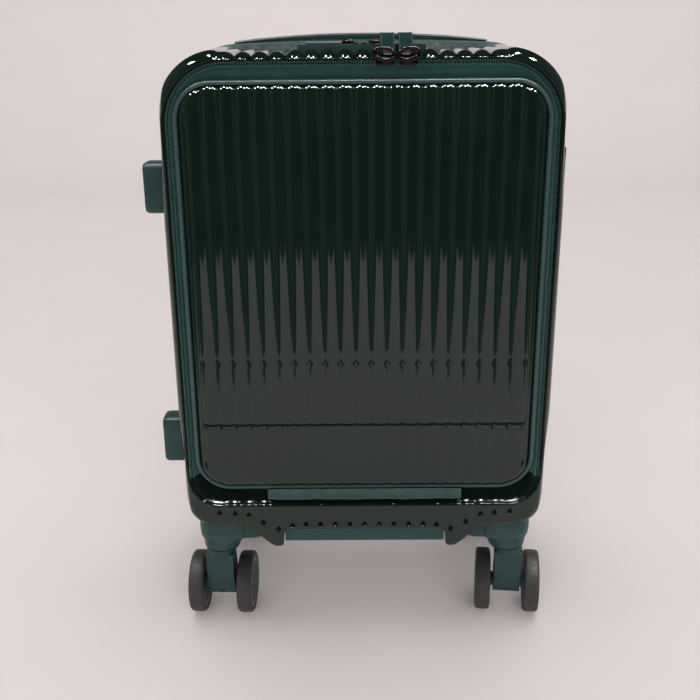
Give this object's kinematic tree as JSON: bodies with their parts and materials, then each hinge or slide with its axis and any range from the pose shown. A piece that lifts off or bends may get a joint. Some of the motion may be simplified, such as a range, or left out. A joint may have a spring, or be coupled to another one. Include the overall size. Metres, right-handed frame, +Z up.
{
  "type": "wheeled hard shell suitcase",
  "caption": "Cabin size hard shell suitcase with a front pocket door, telescopic handle, zip lock, carry handles and twin-wheel swivel casters.",
  "frame": {"origin": "middle of the case on the floor it stands on", "axes": "+Z up, front door faces -Y, side carry handle on +X"},
  "size_m": [0.3745, 0.2393, 0.544],
  "materials": {
    "gloss_shell": "high gloss polycarbonate, very dark green",
    "teal_plastic": "matte",
    "zip_fabric": "woven tape",
    "lining_fabric": "woven",
    "strap_fabric": "woven strap",
    "aluminium": "satin anodised",
    "gunmetal": "satin",
    "steel": "satin",
    "wheel_plastic": "matte polyurethane tyre on a plastic hub"
  },
  "bodies": {
    "rear_half": {"rear_shell": "gloss_shell", "rear_zip_tape": "zip_fabric", "rear_lining": "lining_fabric", "packing_straps": "strap_fabric", "handle_bezel": "teal_plastic", "outer_tubes": "aluminium", "rear_bottom_bar": "teal_plastic", "rear_side_feet": "teal_plastic", "rear_screws": "steel", "handle_mounts": "teal_plastic", "main_hinge_tape": "zip_fabric", "caster_housing_rear_left": "teal_plastic", "caster_housing_rear_right": "teal_plastic"},
    "front_half": {"front_shell": "gloss_shell", "front_zip_tape": "zip_fabric", "door_zip_tape": "zip_fabric", "front_lining": "lining_fabric", "lock_housing": "teal_plastic", "front_bottom_bar": "teal_plastic", "front_side_feet": "teal_plastic", "front_screws": "steel", "door_hinge_flap": "zip_fabric", "caster_housing_front_left": "teal_plastic", "caster_housing_front_right": "teal_plastic"},
    "door": {"door_panel": "gloss_shell", "door_bead": "teal_plastic", "door_gusset": "zip_fabric", "door_lining": "lining_fabric"},
    "tube_stage_1": {"middle_tubes": "aluminium"},
    "pull_handle": {"inner_tubes": "aluminium", "pull_grip": "teal_plastic"},
    "grip_button": {"grip_button": "teal_plastic"},
    "top_handle": {"top_handle": "teal_plastic"},
    "side_handle": {"side_handle": "teal_plastic"},
    "lock_button": {"lock_button": "teal_plastic"},
    "lock_dial_1": {"lock_dial_1": "gunmetal"},
    "lock_dial_2": {"lock_dial_2": "gunmetal"},
    "lock_dial_3": {"lock_dial_3": "gunmetal"},
    "door_slider_left": {"door_slider_left": "gunmetal"},
    "door_puller_left": {"door_puller_left": "strap_fabric"},
    "main_slider_left": {"main_slider_left": "gunmetal"},
    "door_slider_right": {"door_slider_right": "gunmetal"},
    "door_puller_right": {"door_puller_right": "strap_fabric"},
    "main_slider_right": {"main_slider_right": "gunmetal"},
    "caster_front_left": {"fork_front_left": "teal_plastic", "axle_front_left": "steel"},
    "caster_front_right": {"fork_front_right": "teal_plastic", "axle_front_right": "steel"},
    "caster_rear_left": {"fork_rear_left": "teal_plastic", "axle_rear_left": "steel"},
    "caster_rear_right": {"fork_rear_right": "teal_plastic", "axle_rear_right": "steel"},
    "wheel_front_left_outer": {"wheel_front_left_outer": "wheel_plastic"},
    "wheel_front_left_inner": {"wheel_front_left_inner": "wheel_plastic"},
    "wheel_front_right_inner": {"wheel_front_right_inner": "wheel_plastic"},
    "wheel_front_right_outer": {"wheel_front_right_outer": "wheel_plastic"},
    "wheel_rear_left_outer": {"wheel_rear_left_outer": "wheel_plastic"},
    "wheel_rear_left_inner": {"wheel_rear_left_inner": "wheel_plastic"},
    "wheel_rear_right_inner": {"wheel_rear_right_inner": "wheel_plastic"},
    "wheel_rear_right_outer": {"wheel_rear_right_outer": "wheel_plastic"}
  },
  "joints": [
    {"name": "main_hinge", "type": "hinge", "parent": "rear_half", "child": "front_half", "pos_m": [-0.165, 0, 0.325], "axis": [0, 0, -1], "range_deg": [0, 135]},
    {"name": "door_hinge", "type": "hinge", "parent": "front_half", "child": "door", "pos_m": [0, -0.117, 0.152], "axis": [1, 0, 0], "range_deg": [0, 110]},
    {"name": "tube_stage_1_slide", "type": "slide", "parent": "rear_half", "child": "tube_stage_1", "axis": [0, 0, 1], "range_m": [0, 0.225]},
    {"name": "tube_stage_2_slide", "type": "slide", "parent": "tube_stage_1", "child": "pull_handle", "axis": [0, 0, 1], "range_m": [0, 0.225]},
    {"name": "grip_button_press", "type": "slide", "parent": "pull_handle", "child": "grip_button", "axis": [0, 0, -1], "range_m": [0, 0.003], "stiffness_N_per_m": 400, "springref_m": -0.002},
    {"name": "top_handle_lift", "type": "slide", "parent": "rear_half", "child": "top_handle", "axis": [0, 0, 1], "range_m": [0, 0.012]},
    {"name": "side_handle_pull", "type": "slide", "parent": "rear_half", "child": "side_handle", "axis": [1, 0, 0], "range_m": [0, 0.008]},
    {"name": "door_slider_left_run", "type": "slide", "parent": "door", "child": "door_slider_left", "axis": [-1, 0, 0], "range_m": [0, 0.12]},
    {"name": "door_slider_right_run", "type": "slide", "parent": "door", "child": "door_slider_right", "axis": [1, 0, 0], "range_m": [0, 0.075]},
    {"name": "door_puller_left_swing", "type": "hinge", "parent": "door_slider_left", "child": "door_puller_left", "pos_m": [0.0203, -0.1212, 0.5235], "axis": [1, 0, 0], "range_deg": [0, 120]},
    {"name": "door_puller_right_swing", "type": "hinge", "parent": "door_slider_right", "child": "door_puller_right", "pos_m": [0.0344, -0.1212, 0.5235], "axis": [1, 0, 0], "range_deg": [0, 120]},
    {"name": "main_slider_left_run", "type": "slide", "parent": "rear_half", "child": "main_slider_left", "axis": [-1, 0, 0], "range_m": [0, 0.085]},
    {"name": "main_slider_right_run", "type": "slide", "parent": "rear_half", "child": "main_slider_right", "axis": [1, 0, 0], "range_m": [0, 0.085]},
    {"name": "lock_button_press", "type": "slide", "parent": "front_half", "child": "lock_button", "axis": [1, 0, 0], "range_m": [0, 0.006], "stiffness_N_per_m": 300},
    {"name": "lock_dial_1_turn", "type": "hinge", "parent": "front_half", "child": "lock_dial_1", "pos_m": [-0.0052, -0.09, 0.5317], "axis": [1, 0, 0], "continuous": true},
    {"name": "lock_dial_2_turn", "type": "hinge", "parent": "front_half", "child": "lock_dial_2", "pos_m": [0.0014, -0.09, 0.5317], "axis": [1, 0, 0], "continuous": true},
    {"name": "lock_dial_3_turn", "type": "hinge", "parent": "front_half", "child": "lock_dial_3", "pos_m": [0.008, -0.09, 0.5317], "axis": [1, 0, 0], "continuous": true},
    {"name": "caster_front_left_swivel", "type": "hinge", "parent": "front_half", "child": "caster_front_left", "pos_m": [-0.1395, -0.076, 0.095], "axis": [0, 0, 1], "continuous": true},
    {"name": "caster_front_right_swivel", "type": "hinge", "parent": "front_half", "child": "caster_front_right", "pos_m": [0.1395, -0.076, 0.095], "axis": [0, 0, 1], "continuous": true},
    {"name": "caster_rear_left_swivel", "type": "hinge", "parent": "rear_half", "child": "caster_rear_left", "pos_m": [-0.1395, 0.076, 0.095], "axis": [0, 0, 1], "continuous": true},
    {"name": "caster_rear_right_swivel", "type": "hinge", "parent": "rear_half", "child": "caster_rear_right", "pos_m": [0.1395, 0.076, 0.095], "axis": [0, 0, 1], "continuous": true},
    {"name": "wheel_front_left_outer_spin", "type": "hinge", "parent": "caster_front_left", "child": "wheel_front_left_outer", "pos_m": [-0.13906, -0.06601, 0.03], "axis": [0.999, -0.0436, 0], "continuous": true},
    {"name": "wheel_front_left_inner_spin", "type": "hinge", "parent": "caster_front_left", "child": "wheel_front_left_inner", "pos_m": [-0.13906, -0.06601, 0.03], "axis": [0.999, -0.0436, 0], "continuous": true},
    {"name": "wheel_front_right_inner_spin", "type": "hinge", "parent": "caster_front_right", "child": "wheel_front_right_inner", "pos_m": [0.14061, -0.06606, 0.03], "axis": [0.9938, -0.1115, 0], "continuous": true},
    {"name": "wheel_front_right_outer_spin", "type": "hinge", "parent": "caster_front_right", "child": "wheel_front_right_outer", "pos_m": [0.14061, -0.06606, 0.03], "axis": [0.9938, -0.1115, 0], "continuous": true},
    {"name": "wheel_rear_left_outer_spin", "type": "hinge", "parent": "caster_rear_left", "child": "wheel_rear_left_outer", "pos_m": [-0.1402, 0.08598, 0.03], "axis": [0.9976, 0.0698, 0], "continuous": true},
    {"name": "wheel_rear_left_inner_spin", "type": "hinge", "parent": "caster_rear_left", "child": "wheel_rear_left_inner", "pos_m": [-0.1402, 0.08598, 0.03], "axis": [0.9976, 0.0698, 0], "continuous": true},
    {"name": "wheel_rear_right_inner_spin", "type": "hinge", "parent": "caster_rear_right", "child": "wheel_rear_right_inner", "pos_m": [0.14002, 0.08599, 0.03], "axis": [0.9986, -0.0523, 0], "continuous": true},
    {"name": "wheel_rear_right_outer_spin", "type": "hinge", "parent": "caster_rear_right", "child": "wheel_rear_right_outer", "pos_m": [0.14002, 0.08599, 0.03], "axis": [0.9986, -0.0523, 0], "continuous": true}
  ]
}
